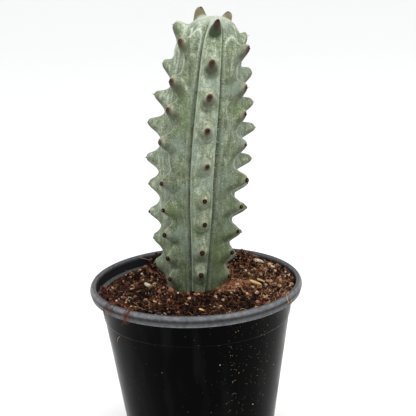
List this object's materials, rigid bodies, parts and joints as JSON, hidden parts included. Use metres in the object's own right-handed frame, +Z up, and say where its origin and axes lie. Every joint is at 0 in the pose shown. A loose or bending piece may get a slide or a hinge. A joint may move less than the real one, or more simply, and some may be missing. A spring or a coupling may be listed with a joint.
{
  "type": "potted columnar cactus",
  "caption": "Potted columnar cactus: a ribbed stem with blunt nipple-shaped teeth, standing in potting mix in a tapered plastic nursery pot.",
  "frame": {"origin": "on the pot's axis, on the surface that the pot stands on", "axes": "+Z up along the pot's axis, -Y towards the viewer of the picture, +X to the viewer's right"},
  "size_m": [0.152, 0.152, 0.3301],
  "materials": {
    "pot": "satin",
    "soil": "matte",
    "cactus": "satin"
  },
  "bodies": {
    "root": {"pot": "pot", "soil": "soil", "cactus": "cactus"}
  },
  "joints": []
}
